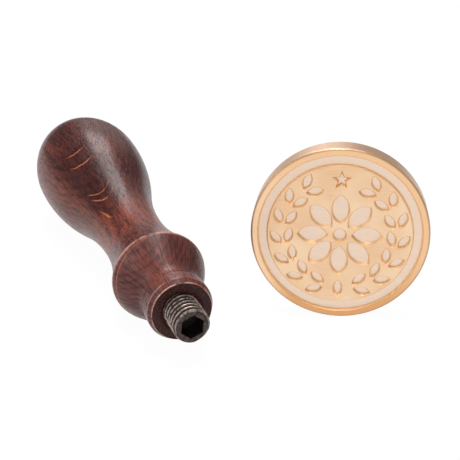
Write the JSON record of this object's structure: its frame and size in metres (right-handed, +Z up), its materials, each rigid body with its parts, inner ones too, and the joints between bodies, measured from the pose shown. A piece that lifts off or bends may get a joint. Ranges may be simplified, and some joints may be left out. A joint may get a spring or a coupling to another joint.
{
  "type": "wax seal stamp",
  "caption": "Turned wooden handle with a threaded stud, beside the engraved brass seal head that screws onto it; pressed into soft wax to seal letters.",
  "frame": {"origin": "on the table, under the middle of the set's bounding box", "axes": "+Z up from the table; +Y away from the viewer, the way that the handle mostly runs; +X to the viewer's right, from the handle to the seal head"},
  "size_m": [0.0756, 0.0858, 0.03],
  "materials": {
    "stained_wood": "satin varnish",
    "black_steel": "black oxide, worn on the thread's crests",
    "brass": "satin"
  },
  "bodies": {
    "handle": {"handle": "stained_wood", "stud": "black_steel"},
    "seal_head": {"seal_head": "brass"}
  },
  "joints": [
    {"name": "seal_head_turn", "type": "hinge", "parent": "handle", "child": "seal_head", "pos_m": [0.02244, -0.02327, 0.015], "axis": [0.1149, 0.9934, 0], "continuous": true}
  ]
}
